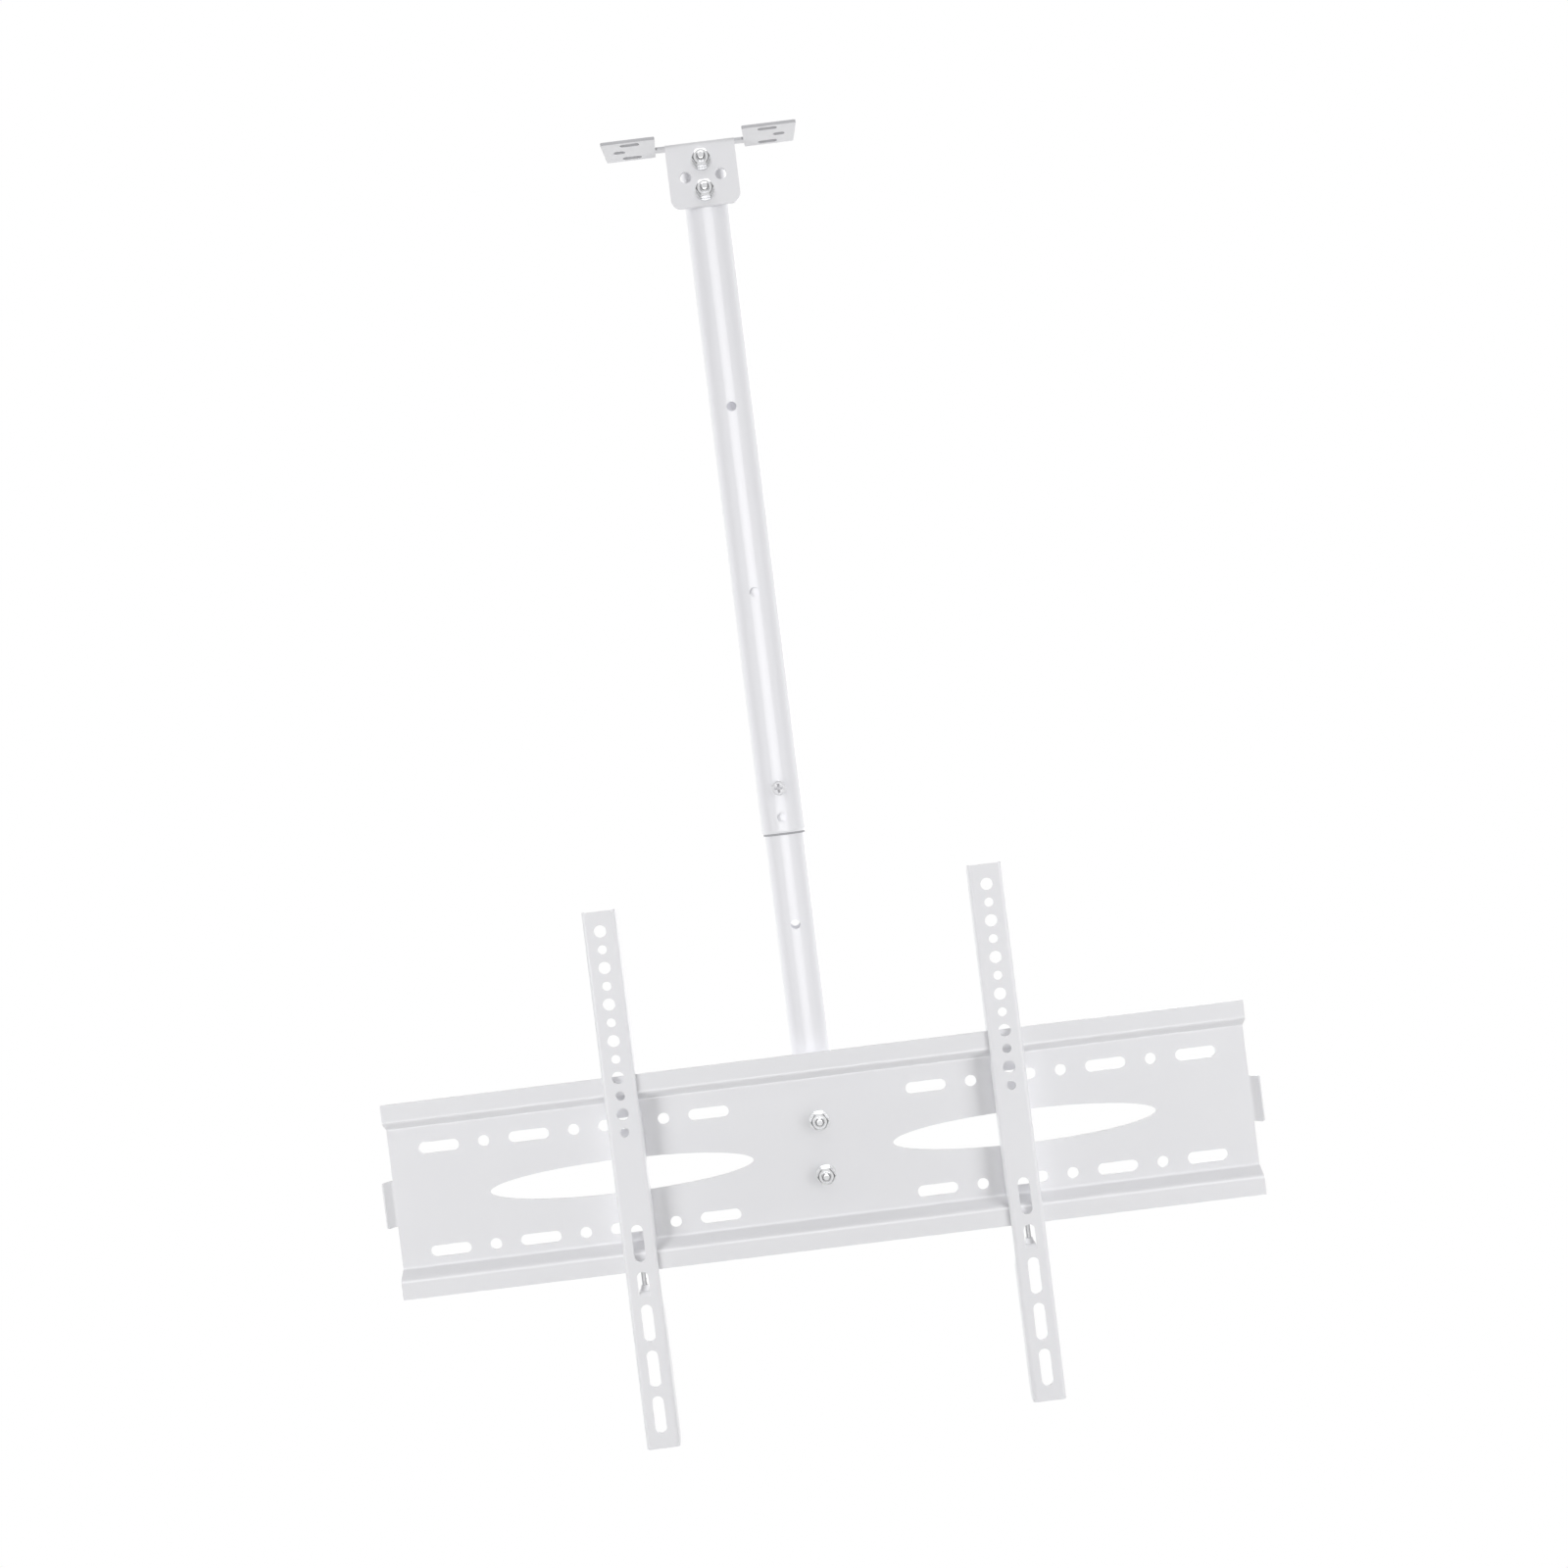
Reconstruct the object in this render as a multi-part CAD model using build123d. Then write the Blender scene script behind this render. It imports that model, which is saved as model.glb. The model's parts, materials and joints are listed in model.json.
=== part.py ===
from build123d import *
from math import cos, radians, sin, sqrt, tan
import os

# The ceiling is the plane z = 0 and the mount hangs below it. The pole stands in the plane x = 0,
# the ear of the ceiling bracket in the plane y = 0, and the screen hangs on the -Y side.

# Ceiling bracket: one folded sheet
bracket_sheet = 2.5
bracket_bend_radius = 2.5
bracket_span = 160.0
wing_length = 44.5
wing_depth = 35.0
wing_side_angle = 86.8
wing_corner_radius = 1.5
neck_depth = 9.0
ear_width = 57.5
ear_height = 54.5
ear_corner_radius = 8.0
side_hole_diameter = 9.5
side_hole_spacing = 29.0
ceiling_slot_length = 16.0
ceiling_slot_width = 5.0
ceiling_slot_spacing_x = 113.0
ceiling_slot_spacing_y = 24.5
outer_slot_length = 9.5
outer_slot_spacing = 132.0

# Telescopic pole: two round tubes, and a guide bush in the mouth of the outer one
outer_tube_diameter = 36.8
outer_tube_wall = 1.2
outer_tube_length = 568.0
outer_tube_drop = 6.0
taper_height = 1.8
taper_depth = 0.9
inner_tube_wall = 1.5
inner_tube_length = 535.0
tube_overlap = 234.0
cross_hole_diameter = 8.0
outer_cross_hole_rises = (13.0, 200.0, 354.0)
inner_cross_hole_rises = (225.0, 388.0)
bush_clearance = 0.05
bush_wall = 0.45
bush_depth = 7.5
bush_rim_height = 1.6
bush_rim_inset = 0.2
slide_clearance = 0.3
plug_rim = 2.0
plug_depth = 14.0
plug_wall = 2.0
plug_clearance = 0.1

# Bolted joints of the pole, M8
bolt_diameter = 8.0
bolt_hole_clearance = 0.4
bolt_end_reach = 3.5
bolt_end_rounding = 2.0
thread_clearance = 0.05
hex_across_flats = 13.0
bolt_head_height = 5.3
nut_height = 6.5
hex_chamfer = 0.8
washer_diameter = 17.0
washer_thickness = 1.6
saddle_diameter = 18.0
saddle_thickness = 2.0
pole_bolt_drop = 17.0
pole_bolt_spacing = 25.4
plate_bolt_spacing = 45.0
seat_gap = 0.1

# Height lock screw, M6, in a drawn collar of the outer tube
lock_screw_diameter = 6.0
lock_screw_rise = 37.0
lock_head_diameter = 12.0
lock_head_height = 4.0
lock_collar_diameter = 9.5
lock_collar_height = 2.0
lock_head_gap = 0.3
lock_tip_gap = 0.3

# Screen plate: one folded sheet with a stepped rail along its top and bottom
plate_sheet = 2.0
plate_bend_radius = 3.0
plate_width = 710.0
plate_height = 160.0
plate_rise = 40.5
rail_height = 15.0
rail_step_height = 6.5
rail_step_depth = 10.6
opening_drop = 3.4
row_spacing = 85.5
row_start = 90.0
row_end_margin = 41.2
row_count = 7
row_slot_length = 33.5
row_slot_width = 9.4
window_spacing = 334.0
window_length = 218.0
window_height = 28.0
stop_height = 37.6
stop_length = 8.0
stop_angle = 45.0
stop_corner_radius = 1.5

# Arms: folded channel bars that hook over the upper rail
arm_sheet = 2.0
arm_bend_radius = 1.5
arm_width = 27.5
arm_length = 440.0
arm_rise = 136.0
arm_spacing = 317.0
rail_gap = 2.0
flange_gap = 1.0
flange_rail_gap = 1.0
hook_gap = 0.6
hook_seat_gap = 0.3
hook_length = 5.0
hook_drop_room = 2.0
lower_flange_drop = 31.0
flange_end_chamfer = 6.0
large_hole_diameter = 10.1
small_hole_diameter = 7.5
hole_start = 16.3
hole_pitch = 15.0
hole_count = 12
arm_slot_width = 9.4
arm_slot_length = 30.3
rail_slot_drop = 272.0
lower_slot_drop = 337.5
lower_slot_pitch = 37.5
lower_slot_end_margin = 10.0

# Safety screw, M4, in a tongue lanced out of the arm and bent back
tongue_window_length = 17.0
tongue_window_drop = 295.5
tongue_side_gap = 0.25
tongue_bend_radius = 1.5
safety_screw_diameter = 4.0
safety_screw_gap = 0.5
safety_screw_reach = 9.0
safety_tip_rounding = 0.8
safety_head_diameter = 8.0
safety_head_height = 3.0
collar_base_diameter = 8.0
collar_top_diameter = 5.6
collar_height = 4.0

# Pan heads and their cross recess, as shares of the head that the standard heads keep
head_rounding = 0.6
recess_reach = 0.6
recess_width = 0.16
recess_depth = 0.5

# Places that follow from the sizes, from the ear back to the tubes and forward to the arms
ear_front = -bracket_sheet / 2
ear_back = bracket_sheet / 2
outer_radius = outer_tube_diameter / 2
outer_bore_radius = outer_radius - outer_tube_wall
bush_skirt_radius = outer_bore_radius - bush_clearance
bush_bore_radius = bush_skirt_radius - bush_wall
inner_radius = bush_bore_radius - slide_clearance
inner_bore_radius = inner_radius - inner_tube_wall
pole_y = ear_back + seat_gap + outer_radius
panel_back = pole_y - inner_radius - seat_gap
panel_front = panel_back - plate_sheet
rail_front = panel_front - rail_step_depth
rail_back = rail_front + plate_sheet
web_back = rail_front - rail_gap
web_front = web_back - arm_sheet
flange_back = panel_front - flange_gap
flange_notch = rail_front - flange_rail_gap
safety_screw_y = rail_back + safety_screw_gap + safety_screw_diameter / 2

# Heights that follow from the sizes, from the ceiling down
outer_top = -outer_tube_drop
outer_bottom = outer_top - outer_tube_length
inner_top = outer_bottom + tube_overlap
inner_bottom = inner_top - inner_tube_length
plate_z = inner_bottom + plate_rise
plate_top = plate_z + plate_height / 2
plate_bottom = plate_z - plate_height / 2
arm_top = plate_top + arm_rise
arm_bottom = arm_top - arm_length
pole_bolt_heights = {"upper": -pole_bolt_drop, "lower": -pole_bolt_drop - pole_bolt_spacing}
plate_bolt_heights = {
    "upper": plate_z + plate_bolt_spacing / 2,
    "lower": plate_z - plate_bolt_spacing / 2,
}
lock_screw_z = outer_bottom + lock_screw_rise
tongue_top = arm_top - tongue_window_drop - tongue_window_length
tongue_width = arm_slot_width - 2 * tongue_side_gap
bolt_hole_diameter = bolt_diameter + 2 * bolt_hole_clearance
opening_z = plate_z - opening_drop
row_pitch = (plate_width / 2 - row_start - row_end_margin) / (row_count - 1)
lower_slot_room = arm_length - lower_slot_drop - arm_slot_length / 2 - lower_slot_end_margin
lower_slot_count = 1 + int(lower_slot_room / lower_slot_pitch)

# Drawing planes: a front view of the mount, a side view, and the way its cross screws point
front_view = Plane.XZ
side_view = Plane.YZ


def forward_at(y, z):
    return Plane(origin=(0, y, z), x_dir=(1, 0, 0), z_dir=(0, -1, 0))


def folded(path_points, bend_radius, sheet):
    middle = FilletPolyline(*path_points, radius=bend_radius + sheet / 2)
    return trace(lines=middle, line_width=sheet)


def front_cut(shape, x, z, reach):
    return extrude(front_view * Pos(x, z) * shape, reach, both=True)


def pole_cut(z, diameter):
    return Pos(0, pole_y, z) * Rot(90, 0, 0) * Cylinder(diameter / 2, 2 * outer_tube_diameter)


def ceiling_bracket():
    wing_x = (bracket_span - wing_length) / 2
    neck_front = ear_back + bracket_bend_radius
    middle_z = -bracket_sheet / 2
    bend_line = [(ear_back + neck_depth, middle_z), (0, middle_z), (0, -ear_height)]
    wing = Trapezoid(wing_length, wing_depth, wing_side_angle)
    wing = fillet(wing.vertices(), wing_corner_radius)
    wings = Pos(-wing_x, 0) * wing + Pos(wing_x, 0) * wing
    bridge_depth = ear_back + neck_depth - neck_front
    bridge = Pos(0, neck_front + bridge_depth / 2) * Rectangle(bracket_span - wing_length, bridge_depth)
    top = extrude(wings + bridge, -bracket_sheet)
    ear_section = folded(bend_line, bracket_bend_radius, bracket_sheet)
    fold = extrude(side_view * ear_section, ear_width / 2, both=True)
    ear_corners = fold.edges().filter_by(Axis.Y).group_by(Axis.Z)[0]
    bracket = top + fillet(ear_corners, ear_corner_radius)
    long_slot = SlotOverall(ceiling_slot_length, ceiling_slot_width)
    slots = Sketch() + GridLocations(ceiling_slot_spacing_x, ceiling_slot_spacing_y, 2, 2) * long_slot
    slots += GridLocations(outer_slot_spacing, 0, 2, 1) * SlotOverall(outer_slot_length, ceiling_slot_width)
    bracket -= extrude(slots, -2 * bracket_sheet)
    for z in pole_bolt_heights.values():
        bracket -= front_cut(Circle(bolt_hole_diameter / 2), 0, z, bracket_sheet)
    side_hole_z = sum(pole_bolt_heights.values()) / 2
    for side in (-1, 1):
        side_hole = Circle(side_hole_diameter / 2)
        bracket -= front_cut(side_hole, side * side_hole_spacing / 2, side_hole_z, bracket_sheet)
    return bracket


def outer_tube():
    wall = Polyline(
        (outer_bore_radius, outer_top),
        (outer_radius, outer_top),
        (outer_radius, outer_bottom + taper_height),
        (outer_radius - taper_depth, outer_bottom),
        (outer_bore_radius, outer_bottom),
        close=True,
    )
    tube = Pos(0, pole_y, 0) * revolve(Plane.XZ * make_face(wall), Axis.Z)
    collar_length = outer_radius + lock_collar_height
    collar = extrude(forward_at(pole_y, lock_screw_z) * Circle(lock_collar_diameter / 2), collar_length)
    bore = Pos(0, pole_y, lock_screw_z) * Cylinder(outer_bore_radius, 2 * lock_collar_diameter)
    tube += collar - bore
    thread_diameter = lock_screw_diameter + 2 * thread_clearance
    tube -= extrude(forward_at(pole_y, lock_screw_z) * Circle(thread_diameter / 2), 2 * collar_length)
    for rise in outer_cross_hole_rises:
        tube -= pole_cut(outer_bottom + rise, cross_hole_diameter)
    for z in pole_bolt_heights.values():
        tube -= pole_cut(z, bolt_hole_diameter)
    return tube


def guide_bush():
    rim_radius = outer_radius - taper_depth - bush_rim_inset
    rim_top = outer_bottom - seat_gap
    rim_bottom = rim_top - bush_rim_height
    skirt_top = outer_bottom + bush_depth
    half = Polyline(
        (bush_bore_radius, rim_bottom),
        (rim_radius, rim_bottom),
        (rim_radius, rim_top),
        (bush_skirt_radius, rim_top),
        (bush_skirt_radius, skirt_top),
        (bush_bore_radius, skirt_top),
        close=True,
    )
    return Pos(0, pole_y, 0) * revolve(Plane.XZ * make_face(half), Axis.Z)


def inner_tube():
    ring = Circle(inner_radius) - Circle(inner_bore_radius)
    tube = extrude(Pos(0, pole_y, inner_bottom) * ring, inner_tube_length)
    for rise in inner_cross_hole_rises:
        tube -= pole_cut(inner_bottom + rise, cross_hole_diameter)
    for z in plate_bolt_heights.values():
        tube -= pole_cut(z, bolt_hole_diameter)
    return tube


def inner_tube_plug():
    skirt_radius = inner_bore_radius - plug_clearance
    half = Polyline(
        (0, -plug_rim),
        (inner_radius, -plug_rim),
        (inner_radius, 0),
        (skirt_radius, 0),
        (skirt_radius, plug_depth),
        (skirt_radius - plug_wall, plug_depth),
        (skirt_radius - plug_wall, 0),
        (0, 0),
        close=True,
    )
    return Pos(0, pole_y, inner_bottom) * revolve(Plane.XZ * make_face(half), Axis.Z)


def chamfered_hexagon(height, both_ends):
    corner_radius = hex_across_flats / sqrt(3)
    block = extrude(RegularPolygon(corner_radius, 6), height)
    cone_points = [(0, 0), (corner_radius, 0), (corner_radius, height - hex_chamfer)]
    if both_ends:
        cone_points[1:2] = [(corner_radius - 2 * hex_chamfer, 0), (corner_radius, hex_chamfer)]
    cone_points += [(corner_radius - 2 * hex_chamfer, height), (0, height)]
    return block & revolve(Plane.XZ * make_face(Polyline(*cone_points, close=True)), Axis.Z)


def hex_bolt(grip):
    shank_length = grip + washer_thickness + nut_height + bolt_end_reach
    shank = extrude(Circle(bolt_diameter / 2), shank_length)
    shank = fillet(shank.edges().group_by(Axis.Z)[-1], bolt_end_rounding)
    return shank + Rot(180, 0, 0) * chamfered_hexagon(bolt_head_height, False)


def hex_nut():
    bore = Cylinder(bolt_diameter / 2 + thread_clearance, 4 * nut_height)
    return chamfered_hexagon(nut_height, True) - bore


def washer():
    return extrude(Circle(washer_diameter / 2) - Circle(bolt_hole_diameter / 2), washer_thickness)


def saddle(tube_radius):
    disc_height = saddle_thickness + tube_radius - sqrt(tube_radius**2 - (saddle_diameter / 2) ** 2)
    disc = extrude(Circle(saddle_diameter / 2) - Circle(bolt_hole_diameter / 2), disc_height)
    hollow_radius = tube_radius + seat_gap
    hollow = Rot(90, 0, 0) * Cylinder(hollow_radius, 2 * tube_radius)
    return disc - Pos(0, 0, saddle_thickness + hollow_radius) * hollow


def bolted_joint(name, heights, tube_radius, front):
    saddle_back = pole_y + tube_radius + seat_gap + saddle_thickness
    pieces = {}
    for place, z in heights.items():
        pieces[f"{place}_{name}_bolt"] = forward_at(saddle_back, z) * hex_bolt(saddle_back - front)
        pieces[f"{place}_{name}_saddle"] = forward_at(saddle_back, z) * saddle(tube_radius)
        pieces[f"{place}_{name}_washer"] = forward_at(front, z) * washer()
        pieces[f"{place}_{name}_nut"] = forward_at(front - washer_thickness, z) * hex_nut()
    return pieces


def pan_screw(diameter, length, tip_rounding, head_diameter, head_height):
    shank = extrude(Circle(diameter / 2), -length)
    shank = fillet(shank.edges().group_by(Axis.Z)[0], tip_rounding)
    head = extrude(Circle(head_diameter / 2), head_height)
    head = fillet(head.edges().group_by(Axis.Z)[-1], head_rounding * head_height)
    reach = recess_reach * head_diameter
    width = recess_width * head_diameter
    cross = Rectangle(reach, width) + Rectangle(width, reach)
    depth = recess_depth * head_height
    return shank + head - extrude(Pos(0, 0, head_height - depth) * cross, 2 * depth)


def height_lock_screw():
    head_seat = pole_y - outer_radius - lock_collar_height - lock_head_gap
    length = pole_y - inner_radius - lock_tip_gap - head_seat
    screw = pan_screw(lock_screw_diameter, length, outer_tube_wall / 2, lock_head_diameter, lock_head_height)
    return forward_at(head_seat, lock_screw_z) * screw


def tv_plate():
    rail_y = rail_front + plate_sheet / 2
    panel_y = panel_front + plate_sheet / 2
    half_path = [
        (rail_y, plate_height / 2),
        (rail_y, plate_height / 2 - rail_height),
        (panel_y, plate_height / 2 - rail_height - rail_step_height),
    ]
    path = [(y, plate_z + z) for y, z in half_path] + [(y, plate_z - z) for y, z in reversed(half_path)]
    plate = extrude(side_view * folded(path, plate_bend_radius, plate_sheet), plate_width / 2, both=True)
    cut_reach = 2 * rail_step_depth
    rows = [opening_z + side * row_spacing / 2 for side in (-1, 1)]
    slot = SlotOverall(row_slot_length, row_slot_width)
    for z in rows:
        for step in range(row_count):
            shape = Circle(row_slot_width / 2) if step % 2 else slot
            for side in (-1, 1):
                plate -= front_cut(shape, side * (row_start + step * row_pitch), z, cut_reach)
    for side in (-1, 1):
        window = Ellipse(window_length / 2, window_height / 2)
        plate -= front_cut(window, side * window_spacing / 2, opening_z, cut_reach)
    for z in plate_bolt_heights.values():
        plate -= front_cut(Circle(bolt_hole_diameter / 2), 0, z, cut_reach)
    for side in (-1, 1):
        plate += end_stop(side)
    return plate


def end_stop(side):
    panel_y = panel_front + plate_sheet / 2
    turn = radians(stop_angle)
    fold_x = plate_width / 2 + (plate_bend_radius + plate_sheet / 2) * tan(turn / 2)
    root_x = plate_width / 2 - plate_sheet
    tip_x = fold_x + stop_length * cos(turn)
    tip_y = panel_y - stop_length * sin(turn)
    path = [(side * root_x, panel_y), (side * fold_x, panel_y), (side * tip_x, tip_y)]
    section = Pos(0, 0, opening_z) * folded(path, plate_bend_radius, plate_sheet)
    stop = extrude(section, stop_height / 2, both=True)
    tip = stop.faces().sort_by(Axis.X)[0 if side < 0 else -1]
    return fillet(tip.edges().filter_by(Axis.Z, reverse=True), stop_corner_radius)


def arm_side_outline():
    hook_front = rail_back + hook_gap
    hook_bottom = plate_top - hook_length
    notch_top = plate_top + hook_seat_gap
    recess_top = plate_top - rail_height - rail_step_height - hook_length - hook_drop_room
    recess_bottom = plate_bottom + rail_height + rail_step_height + hook_drop_room
    lower_top = plate_bottom - lower_flange_drop
    slope = flange_back - flange_notch
    return Polyline(
        (web_front, arm_top),
        (flange_back - flange_end_chamfer, arm_top),
        (flange_back, arm_top - flange_end_chamfer),
        (flange_back, hook_bottom),
        (hook_front, hook_bottom),
        (hook_front, notch_top),
        (flange_notch, notch_top),
        (flange_notch, recess_top + slope / 2),
        (flange_back, recess_top - slope / 2),
        (flange_back, recess_bottom),
        (flange_notch, recess_bottom),
        (flange_notch, lower_top + slope / 2),
        (flange_back, lower_top - slope / 2),
        (flange_back, arm_bottom + flange_end_chamfer),
        (flange_back - flange_end_chamfer, arm_bottom),
        (web_front, arm_bottom),
        close=True,
    )


def arm_channel():
    flange_x = arm_width / 2 - arm_sheet / 2
    web_y = web_front + arm_sheet / 2
    path = [(-flange_x, flange_back), (-flange_x, web_y), (flange_x, web_y), (flange_x, flange_back)]
    channel = extrude(Pos(0, 0, arm_bottom) * folded(path, arm_bend_radius, arm_sheet), arm_length)
    return channel & extrude(side_view * make_face(arm_side_outline()), arm_width, both=True)


def arm_tongue():
    web_y = web_front + arm_sheet / 2
    root_z = tongue_top - tongue_bend_radius - 2 * arm_sheet
    tip_y = safety_screw_y + tongue_width / 2
    path = [(web_y, root_z), (web_y, tongue_top - arm_sheet / 2), (tip_y, tongue_top - arm_sheet / 2)]
    tongue = extrude(side_view * folded(path, tongue_bend_radius, arm_sheet), tongue_width / 2, both=True)
    tongue = fillet(tongue.edges().filter_by(Axis.Z).group_by(Axis.Y)[-1], tongue_width / 2 - tongue_side_gap)
    collar = Cone(collar_base_diameter / 2, collar_top_diameter / 2, collar_height)
    tongue += Pos(0, safety_screw_y, tongue_top + collar_height / 2) * collar
    thread = Cylinder(safety_screw_diameter / 2 + thread_clearance, 4 * collar_height)
    return tongue - Pos(0, safety_screw_y, tongue_top) * thread


def arm():
    bar = arm_channel()
    cut_reach = abs(web_front) + arm_sheet
    for step in range(hole_count):
        diameter = small_hole_diameter if step % 2 else large_hole_diameter
        bar -= front_cut(Circle(diameter / 2), 0, arm_top - hole_start - step * hole_pitch, cut_reach)
    slot_drops = [lower_slot_drop + step * lower_slot_pitch for step in range(lower_slot_count)]
    upright_slot = Rot(0, 0, 90) * SlotOverall(arm_slot_length, arm_slot_width)
    for drop in [rail_slot_drop, *slot_drops]:
        bar -= front_cut(upright_slot, 0, arm_top - drop, cut_reach)
    fold_height = tongue_bend_radius + arm_sheet
    window_length = tongue_window_length + fold_height
    window = Rectangle(arm_slot_width, window_length)
    window = fillet(window.vertices().group_by(Axis.Y)[-1], arm_slot_width / 2 - tongue_side_gap)
    bar -= front_cut(window, 0, tongue_top - fold_height + window_length / 2, cut_reach)
    return bar + arm_tongue()


def safety_screw():
    head_seat = tongue_top - arm_sheet
    length = plate_bottom + safety_screw_reach - head_seat
    screw = pan_screw(
        safety_screw_diameter, length, safety_tip_rounding, safety_head_diameter, safety_head_height
    )
    return Pos(0, safety_screw_y, head_seat) * Rot(180, 0, 0) * screw


pieces = {
    "ceiling_bracket": ceiling_bracket(),
    "outer_tube": outer_tube(),
    "height_lock_screw": height_lock_screw(),
    "guide_bush": guide_bush(),
    "inner_tube": inner_tube(),
    "inner_tube_plug": inner_tube_plug(),
    "tv_plate": tv_plate(),
}
pieces |= bolted_joint("pole", pole_bolt_heights, outer_radius, ear_front)
pieces |= bolted_joint("plate", plate_bolt_heights, inner_radius, panel_front)
for side_name, side in (("left", -1), ("right", 1)):
    place = Pos(side * arm_spacing / 2, 0, 0)
    pieces[f"{side_name}_arm"] = place * arm()
    pieces[f"{side_name}_safety_screw"] = place * safety_screw()

os.makedirs("parts", exist_ok=True)
for name, piece in pieces.items():
    export_step(piece, f"parts/{name}.step")
    print(name, round(piece.volume), "mm3")
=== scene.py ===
import json
import math

import bpy
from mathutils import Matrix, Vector

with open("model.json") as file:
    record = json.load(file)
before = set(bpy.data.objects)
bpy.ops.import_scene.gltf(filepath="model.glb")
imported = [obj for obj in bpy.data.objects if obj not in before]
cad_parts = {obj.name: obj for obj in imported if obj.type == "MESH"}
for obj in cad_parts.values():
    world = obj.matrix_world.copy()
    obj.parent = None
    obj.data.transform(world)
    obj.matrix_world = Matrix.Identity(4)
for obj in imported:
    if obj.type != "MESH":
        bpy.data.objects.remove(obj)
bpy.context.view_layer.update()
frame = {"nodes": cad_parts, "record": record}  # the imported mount, in metres, hanging below the ceiling plane z = 0
nodes = frame["nodes"]
scene = bpy.context.scene
mm = 0.001
noiseSpan = (0.3, 0.7)  # most of a noise's values lie in here


def toLinear(hexColour):
    parts = [int(hexColour[i:i + 2], 16) / 255 for i in (1, 3, 5)]
    return [c / 12.92 if c <= 0.04045 else ((c + 0.055) / 1.055) ** 2.4 for c in parts] + [1.0]


def addNode(tree, kind, settings=None, **inputs):
    node = tree.nodes.new(kind)
    for name, value in (settings or {}).items():
        setattr(node, name, value)
    for name, value in inputs.items():  # _0 is the socket's number, Base_Color its name
        socket = node.inputs[int(name[1:])] if name[0] == "_" else node.inputs[name.replace("_", " ")]
        if isinstance(value, bpy.types.NodeSocket):
            tree.links.new(value, socket)
        else:
            socket.default_value = value
    return node


def newMaterial(name):
    material = bpy.data.materials.new(name)
    material.use_nodes = True
    material.node_tree.nodes.clear()
    return material, material.node_tree


# Coats on steel, sizes in mm. A real coat's grain is near 0.1 mm and its peel near 1 mm: both are too fine
# to show from in front of the whole mount, so they are drawn coarser
bakedCoat = {"ior": 1.5, "relief": 0.6, "grainShare": 0.25}  # what all the coats have in common

# Powder coat, sprayed on folded sheet steel and baked: an even satin white with a faint orange peel
sheetCoat = {
    "colours": ("#E5E5E7", "#E2E2E5"), "cloudSize": 60,
    "peelSize": 2.4, "grainSize": 0.7, "peelDepth": 0.030,
    "roughness": (0.30, 0.38), "specular": 0.4, "coat": 0.0, "coatRoughness": 0.3,
}
# Powder coat on the thicker bracket. Painted shade: the wings' slot walls and sheared edges are painted grey
# "depth" below the ceiling and "start" from the middle in mm, "lean" the most that a greyed face may tilt
bracketCoatAndShade = dict(sheetCoat, paintedShade={"colour": "#BABABD", "depth": 2.6, "start": 35.0, "lean": 0.3})
# Enamel, flowed and baked on tube steel: whiter and smoother, with a long soft streak of light down the tube
tubeCoat = {
    "colours": ("#EFEFF2", "#EDEDF1"), "cloudSize": 90,
    "peelSize": 3.2, "grainSize": 0.9, "peelDepth": 0.018,
    "roughness": (0.34, 0.42), "specular": 0.8, "coat": 1.0, "coatRoughness": 0.3,
}
# Paint, thin on a pressed screw head: a little uneven and duller than the tube round it
screwCoat = {
    "colours": ("#E6E6E8", "#E0E0E3"), "cloudSize": 5,
    "peelSize": 1.4, "grainSize": 0.5, "peelDepth": 0.020,
    "roughness": (0.40, 0.52), "specular": 0.5, "coat": 0.0, "coatRoughness": 0.3,
}


# Painted shade: greys the upright faces of the sheet beside the ceiling, from where the wings start
def paintedWingShade(tree, place, colour, paintedShade):
    spot = addNode(tree, "ShaderNodeSeparateXYZ", Vector=place).outputs
    facing = addNode(tree, "ShaderNodeTexCoord").outputs["Normal"]
    lean = addNode(tree, "ShaderNodeSeparateXYZ", Vector=facing).outputs["Z"]
    lean = addNode(tree, "ShaderNodeMath", {"operation": "ABSOLUTE"}, _0=lean).outputs["Value"]
    upright = addNode(tree, "ShaderNodeMath", {"operation": "LESS_THAN"}, _0=lean, _1=paintedShade["lean"])
    above, beyond = -paintedShade["depth"] * mm, paintedShade["start"] * mm
    high = addNode(tree, "ShaderNodeMath", {"operation": "GREATER_THAN"}, _0=spot["Z"], _1=above)
    aside = addNode(tree, "ShaderNodeMath", {"operation": "ABSOLUTE"}, _0=spot["X"]).outputs["Value"]
    wing = addNode(tree, "ShaderNodeMath", {"operation": "GREATER_THAN"}, _0=aside, _1=beyond)
    shaded = upright.outputs["Value"]
    for mask in (high, wing):
        both = addNode(tree, "ShaderNodeMath", {"operation": "MULTIPLY"}, _0=shaded, _1=mask.outputs["Value"])
        shaded = both.outputs["Value"]
    # the grey of the painted shade in the slots and along the wings' edges
    grey = toLinear(paintedShade["colour"])
    return addNode(tree, "ShaderNodeMix", {"data_type": "RGBA"}, _0=shaded, _6=colour, _7=grey)


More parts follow.
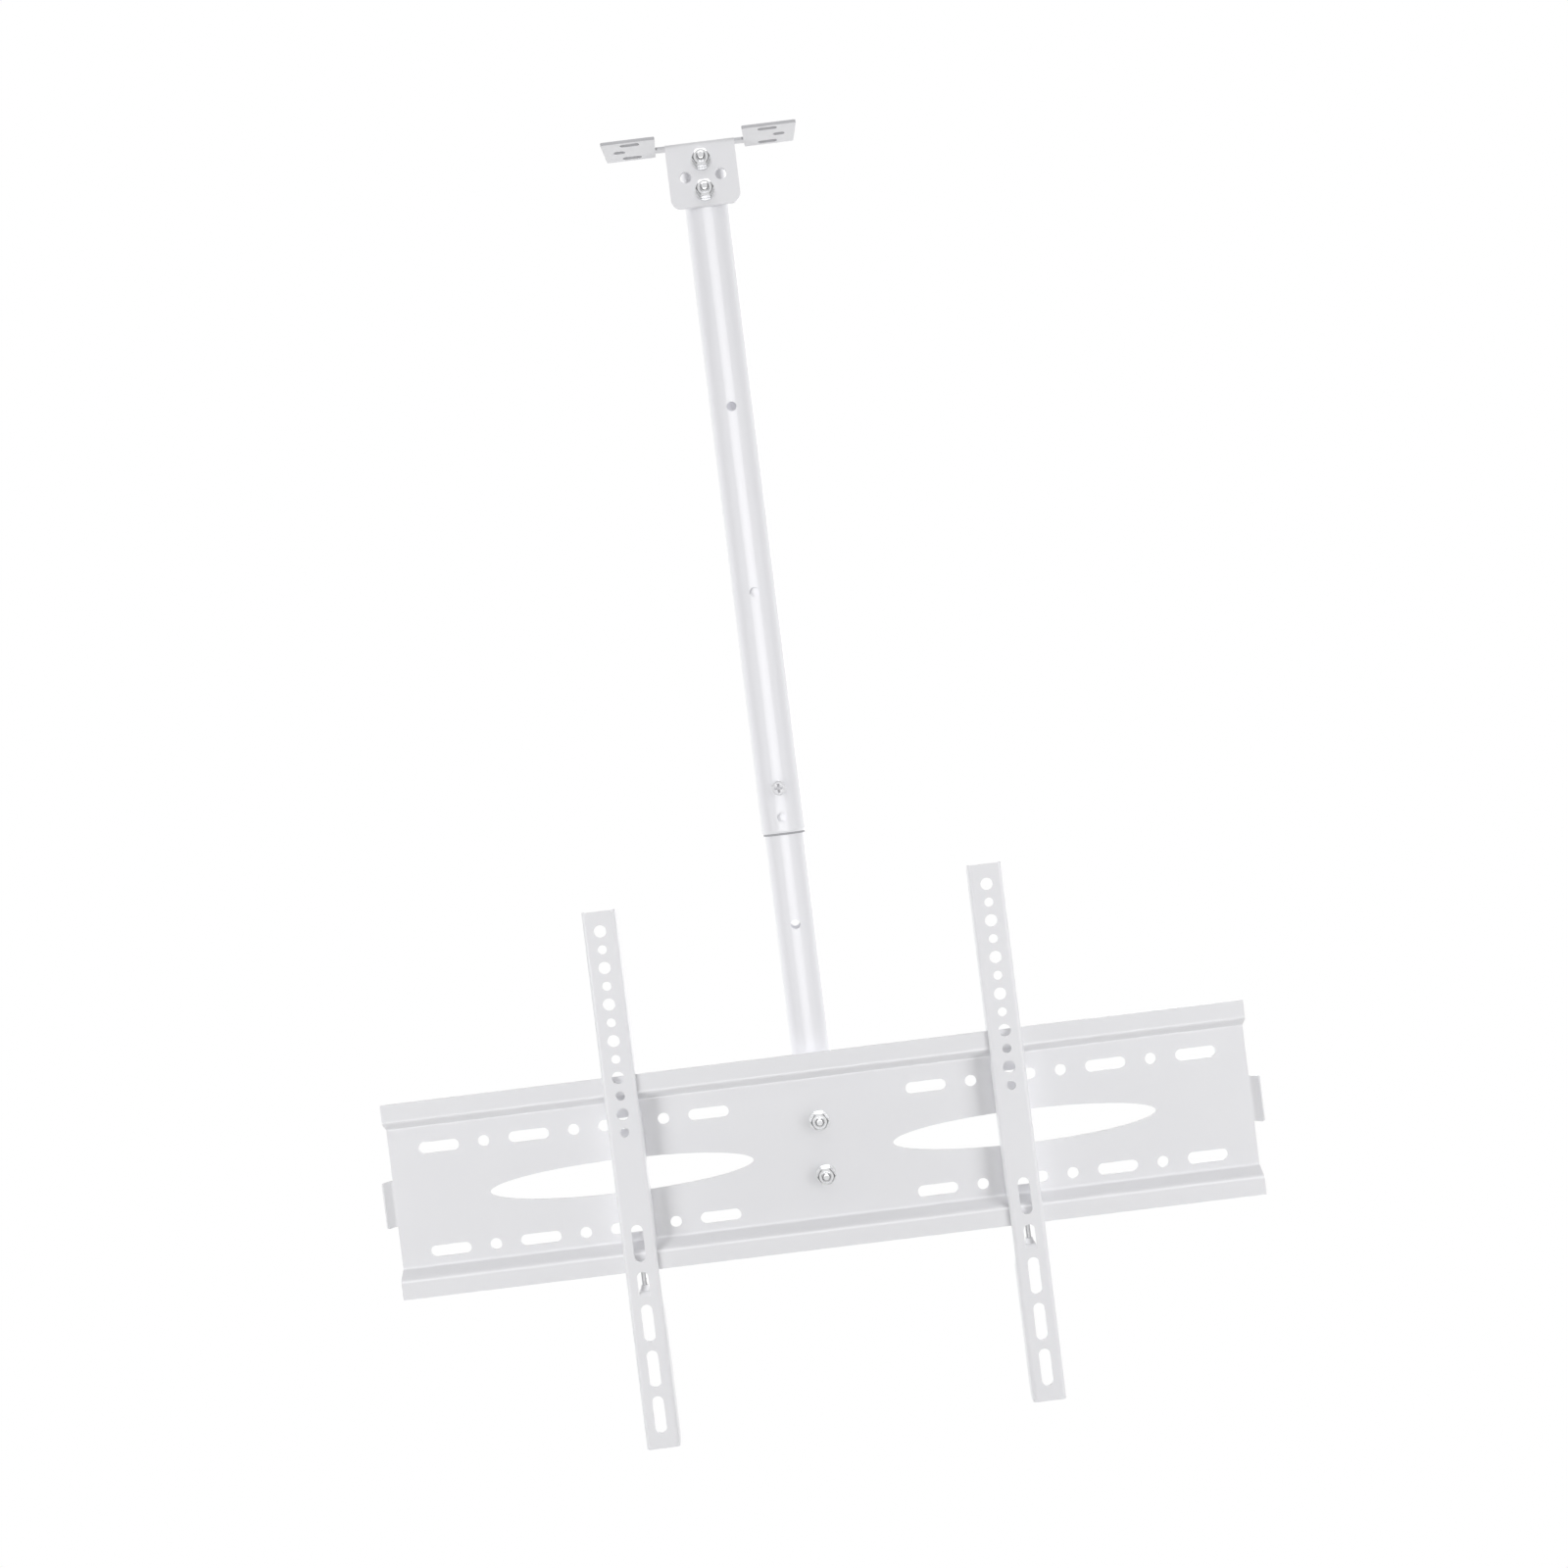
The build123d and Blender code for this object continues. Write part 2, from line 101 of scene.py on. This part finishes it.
def coatedSteel(name, coat):
    material, tree = newMaterial(name)
    place = addNode(tree, "ShaderNodeTexCoord").outputs["Object"]
    scales = [1 / (coat[size] * mm) for size in ("cloudSize", "peelSize", "grainSize")]
    cloud = addNode(tree, "ShaderNodeTexNoise", Vector=place, Scale=scales[0], Detail=2.0)
    peel = addNode(tree, "ShaderNodeTexNoise", Vector=place, Scale=scales[1], Detail=1.0)
    grain = addNode(tree, "ShaderNodeTexNoise", Vector=place, Scale=scales[2], Detail=2.0)
    first, second = [toLinear(c) for c in coat["colours"]]
    colour = addNode(
        tree, "ShaderNodeMix", {"data_type": "RGBA"}, _0=cloud.outputs["Fac"], _6=first, _7=second
    )
    # painted shade on the wings' slot walls and edges, for the coat that carries it
    if coat.get("paintedShade"):
        colour = paintedWingShade(tree, place, colour.outputs[2], coat["paintedShade"])
    low, high = coat["roughness"]
    rough = addNode(
        tree, "ShaderNodeMapRange", Value=grain.outputs["Fac"],
        From_Min=noiseSpan[0], From_Max=noiseSpan[1], To_Min=low, To_Max=high,
    )
    height = addNode(  # a share of the grain on top of the peel
        tree, "ShaderNodeMath", {"operation": "MULTIPLY_ADD"},
        _0=grain.outputs["Fac"], _1=bakedCoat["grainShare"], _2=peel.outputs["Fac"],
    )
    bump = addNode(
        tree, "ShaderNodeBump", Height=height.outputs["Value"],
        Strength=bakedCoat["relief"], Distance=coat["peelDepth"] * mm,
    )
    shader = addNode(
        tree, "ShaderNodeBsdfPrincipled", Base_Color=colour.outputs[2], Roughness=rough.outputs["Result"],
        Normal=bump.outputs["Normal"], Coat_Normal=bump.outputs["Normal"], IOR=bakedCoat["ior"],
        Specular_IOR_Level=coat["specular"], Coat_Weight=coat["coat"], Coat_Roughness=coat["coatRoughness"],
    )
    addNode(tree, "ShaderNodeOutputMaterial", Surface=shader.outputs["BSDF"])
    return material


# Zinc, barrel-plated bright on steel fasteners: a mirror-like skin with pale clouds and fine scuffs, so that
# the nuts catch white glints beside dark rims. Real scuffs are too fine to show, and are drawn coarser
zinc = {
    "colours": ("#DEDEDF", "#C9CACC"), "cloudSize": 4,
    "scuffSize": 0.6, "scuffDepth": 0.006, "relief": 0.5,
    "roughness": (0.14, 0.26), "metallic": 1.0,
}


def zincPlate(name):
    material, tree = newMaterial(name)
    place = addNode(tree, "ShaderNodeTexCoord").outputs["Object"]
    scales = [1 / (zinc[size] * mm) for size in ("cloudSize", "scuffSize")]
    cloud = addNode(tree, "ShaderNodeTexNoise", Vector=place, Scale=scales[0], Detail=3.0)
    scuff = addNode(tree, "ShaderNodeTexNoise", Vector=place, Scale=scales[1], Detail=3.0)
    first, second = [toLinear(c) for c in zinc["colours"]]
    colour = addNode(
        tree, "ShaderNodeMix", {"data_type": "RGBA"}, _0=cloud.outputs["Fac"], _6=first, _7=second
    )
    low, high = zinc["roughness"]
    rough = addNode(
        tree, "ShaderNodeMapRange", Value=cloud.outputs["Fac"],
        From_Min=noiseSpan[0], From_Max=noiseSpan[1], To_Min=low, To_Max=high,
    )
    bump = addNode(
        tree, "ShaderNodeBump", Height=scuff.outputs["Fac"],
        Strength=zinc["relief"], Distance=zinc["scuffDepth"] * mm,
    )
    shader = addNode(
        tree, "ShaderNodeBsdfPrincipled", Base_Color=colour.outputs[2], Roughness=rough.outputs["Result"],
        Normal=bump.outputs["Normal"], Metallic=zinc["metallic"],
    )
    addNode(tree, "ShaderNodeOutputMaterial", Surface=shader.outputs["BSDF"])
    return material


# Polyethylene, injection moulded in a spark-eroded tool: a milky, matt white with a pitted grain
# The grain of such tools is too fine to show, and is drawn coarser here and on the bush
plug = {
    "colours": ("#E4E4E2", "#DCDCDA"), "cloudSize": 12,
    "sparkSize": 0.5, "sparkDepth": 0.03, "relief": 0.5, "roughness": (0.55, 0.68), "ior": 1.51,
}
# Acetal, injection moulded smoother: a mid grey with a waxy sheen, a darker line between the two tubes
bush = {
    "colours": ("#AEAEB2", "#A6A6AA"), "cloudSize": 8,
    "sparkSize": 0.5, "sparkDepth": 0.01, "relief": 0.5, "roughness": (0.45, 0.55), "ior": 1.51,
}


def mouldedPlastic(name, plastic):
    material, tree = newMaterial(name)
    place = addNode(tree, "ShaderNodeTexCoord").outputs["Object"]
    scales = [1 / (plastic[size] * mm) for size in ("cloudSize", "sparkSize")]
    cloud = addNode(tree, "ShaderNodeTexNoise", Vector=place, Scale=scales[0], Detail=2.0)
    spark = addNode(tree, "ShaderNodeTexNoise", Vector=place, Scale=scales[1], Detail=2.0)
    first, second = [toLinear(c) for c in plastic["colours"]]
    colour = addNode(
        tree, "ShaderNodeMix", {"data_type": "RGBA"}, _0=cloud.outputs["Fac"], _6=first, _7=second
    )
    low, high = plastic["roughness"]
    rough = addNode(
        tree, "ShaderNodeMapRange", Value=spark.outputs["Fac"],
        From_Min=noiseSpan[0], From_Max=noiseSpan[1], To_Min=low, To_Max=high,
    )
    bump = addNode(
        tree, "ShaderNodeBump", Height=spark.outputs["Fac"],
        Strength=plastic["relief"], Distance=plastic["sparkDepth"] * mm,
    )
    shader = addNode(
        tree, "ShaderNodeBsdfPrincipled", Base_Color=colour.outputs[2], Roughness=rough.outputs["Result"],
        Normal=bump.outputs["Normal"], IOR=plastic["ior"],
    )
    addNode(tree, "ShaderNodeOutputMaterial", Surface=shader.outputs["BSDF"])
    return material


finishes = {
    "coated_sheet": coatedSteel("powderCoatedSheetSteel", sheetCoat),
    "coated_tube": coatedSteel("enamelledTubeSteel", tubeCoat),
    "coated_screw": coatedSteel("paintedScrewHead", screwCoat),
    "zinc_steel": zincPlate("brightZincPlate"),
    "plug_plastic": mouldedPlastic("mouldedPolyethylene", plug),
    "bush_plastic": mouldedPlastic("mouldedAcetal", bush),
}
for subpart in frame["record"]["subparts"]:
    node = nodes[subpart["node"]]
    node.data.materials.clear()
    node.data.materials.append(finishes[subpart["material_slot"]])
# the bracket gets its own copy of the coat, with painted shade on the wings' slot walls and edges
nodes["ceiling_bracket"].data.materials[0] = coatedSteel("powderCoatAndPaintedShade", bracketCoatAndShade)
print("materials on", len(nodes), "nodes")


# Studio

# A white room, dimmer in front of the mount, where the soft boxes stand: "turn" is where it changes, along Y
surround = {"seen": 1.0, "back": 1.0, "front": 0.27, "turn": (-0.25, 0.55)}


def buildSurround():
    world = bpy.data.worlds.new("whiteSurround")
    scene.world = world
    world.use_nodes = True
    tree = world.node_tree
    tree.nodes.clear()
    way = addNode(tree, "ShaderNodeTexCoord").outputs["Generated"]
    parts = addNode(tree, "ShaderNodeSeparateXYZ", Vector=way)
    start, end = surround["turn"]
    light = addNode(
        tree, "ShaderNodeMapRange", {"interpolation_type": "SMOOTHSTEP"}, Value=parts.outputs["Y"],
        From_Min=start, From_Max=end, To_Min=surround["front"], To_Max=surround["back"],
    )
    path = addNode(tree, "ShaderNodeLightPath")
    strength = addNode(  # the backdrop that is seen stays white
        tree, "ShaderNodeMapRange", Value=path.outputs["Is Camera Ray"],
        To_Min=light.outputs["Result"], To_Max=surround["seen"],
    )
    white = addNode(
        tree, "ShaderNodeBackground", Color=toLinear("#FFFFFF"), Strength=strength.outputs["Result"]
    )
    addNode(tree, "ShaderNodeOutputWorld", Surface=white.outputs["Background"])


# A pale painted floor, a room's height below the ceiling
floorDisc = {"radius": 1.6, "height": -2.7, "sides": 96, "colour": "#F2F2F0", "roughness": 0.9}


def buildFloor():
    points = []
    for step in range(floorDisc["sides"]):
        angle = 2 * math.pi * step / floorDisc["sides"]
        across, along = floorDisc["radius"] * math.cos(angle), floorDisc["radius"] * math.sin(angle)
        points.append((across, along, floorDisc["height"]))
    mesh = bpy.data.meshes.new("paleFloor")
    mesh.from_pydata(points, [], [list(range(len(points)))])
    floor = bpy.data.objects.new("paleFloor", mesh)
    scene.collection.objects.link(floor)
    material, tree = newMaterial("paleFloorPaint")
    paint, rough = toLinear(floorDisc["colour"]), floorDisc["roughness"]
    shader = addNode(tree, "ShaderNodeBsdfPrincipled", Base_Color=paint, Roughness=rough)
    addNode(tree, "ShaderNodeOutputMaterial", Surface=shader.outputs["BSDF"])
    mesh.materials.append(material)


slotNodes = {}
for subpart in frame["record"]["subparts"]:
    slotNodes.setdefault(subpart["material_slot"], []).append(subpart["node"])
tubes = slotNodes["coated_tube"] + slotNodes["coated_screw"]
fasteners = slotNodes["zinc_steel"]
arms = ["left_arm", "right_arm"]

# Watts, size across and up, place and target in metres. A box gives a surface either its shade or its gloss
# "reaches" names the nodes that it lights and "casters" those that shade its light: None means all of them
softboxes = {
    "upperFill": {
        "power": 8, "size": (2.2, 0.8), "place": (0, -1.5, 1.4), "target": (0, 0, -0.4),
        "gives": "shade", "reaches": None, "casters": None,
    },
    "leftBox": {
        "power": 26, "size": (0.8, 2.2), "place": (-1.7, -1.2, -0.7), "target": (0, 0, -0.7),
        "gives": "shade", "reaches": None, "casters": ["left_arm", "ceiling_bracket"] + tubes,
    },
    "rightBox": {
        "power": 26, "size": (0.8, 2.2), "place": (1.7, -1.2, -0.7), "target": (0, 0, -0.7),
        "gives": "shade", "reaches": None, "casters": ["right_arm", "ceiling_bracket", "height_lock_screw"],
    },
    "frontFill": {
        "power": 4.4, "size": (1.6, 2.2), "place": (0, -2.7, -0.3), "target": (0, 0, -0.3),
        "gives": "shade", "reaches": arms + ["ceiling_bracket"], "casters": None,
    },
    "tubeStrip": {
        "power": 33, "size": (2.2, 2.5), "place": (0, -2.4, -0.15), "target": (0, 0, -0.15),
        "gives": "gloss", "reaches": tubes, "casters": None,
    },
    "upperRailStrip": {
        "power": 42, "size": (2.6, 0.4), "place": (0, -1.5, -0.3), "target": (0, 0, -0.9),
        "gives": "gloss", "reaches": ["tv_plate"], "casters": None,
    },
    "lowerRailStrip": {
        "power": 48, "size": (2.6, 0.5), "place": (0, -1.5, -2.3), "target": (0, 0, -0.8),
        "gives": "gloss", "reaches": ["tv_plate"], "casters": None,
    },
    "leftEdgeStrip": {
        "power": 24, "size": (0.8, 2.2), "place": (-1.7, -1.2, -0.6), "target": (0, 0, -0.6),
        "gives": "gloss", "reaches": arms, "casters": None,
    },
    "rightEdgeStrip": {
        "power": 24, "size": (0.8, 2.2), "place": (1.7, -1.2, -0.6), "target": (0, 0, -0.6),
        "gives": "gloss", "reaches": arms, "casters": None,
    },
    "backStrip": {
        "power": 12, "size": (0.5, 2.6), "place": (0.9, 2.2, -0.4), "target": (0, 0, -0.5),
        "gives": "gloss", "reaches": None, "casters": None,
    },
    "zincWall": {
        "power": 30, "size": (3.0, 4.4), "place": (0, -2.5, -0.1), "target": (0, 0, -0.1),
        "gives": "gloss", "reaches": fasteners, "casters": None,
    },
    "zincFront": {
        "power": 14, "size": (1.6, 1.0), "place": (0, -2.4, -0.5), "target": (0, 0, -0.5),
        "gives": "gloss", "reaches": fasteners, "casters": None,
    },
    "zincTop": {
        "power": 28, "size": (2.0, 1.8), "place": (0, -0.7, 1.5), "target": (0, 0, -0.4),
        "gives": "gloss", "reaches": fasteners, "casters": None,
    },
}


def gather(name, nodeNames):
    group = bpy.data.collections.new(name)
    for nodeName in nodeNames:
        group.objects.link(nodes[nodeName])
    return group


def buildLights():
    for name, box in softboxes.items():
        lamp = bpy.data.lights.new(name, "AREA")
        lamp.shape = "RECTANGLE"
        lamp.size, lamp.size_y = box["size"]
        lamp.energy = box["power"]
        light = bpy.data.objects.new(name, lamp)
        light.location = box["place"]
        way = Vector(box["target"]) - light.location
        light.rotation_euler = way.to_track_quat("-Z", "Y").to_euler()
        light.visible_camera = False
        light.visible_diffuse = box["gives"] == "shade"
        light.visible_glossy = box["gives"] == "gloss"
        scene.collection.objects.link(light)
        if box["reaches"]:
            light.light_linking.receiver_collection = gather(name + "Reaches", box["reaches"])
        if box["casters"]:
            light.light_linking.blocker_collection = gather(name + "Casters", box["casters"])


# Straight in front of the mount and slanted: place in metres, lens and sensor in mm, roll in degrees
shot = {"place": (0.0048, -1.2536, -0.534), "lens": 35, "sensor": 36, "roll": 7.03}


def buildCamera():
    data = bpy.data.cameras.new("photoCamera")
    data.lens = shot["lens"]
    data.sensor_width = shot["sensor"]
    camera = bpy.data.objects.new("photoCamera", data)
    camera.location = shot["place"]
    camera.rotation_euler = (math.radians(90), math.radians(shot["roll"]), 0)  # level, looking along +Y
    scene.collection.objects.link(camera)
    scene.camera = camera


buildSurround()
buildFloor()
buildLights()
buildCamera()
scene.view_settings.view_transform = "Standard"
print("studio built")
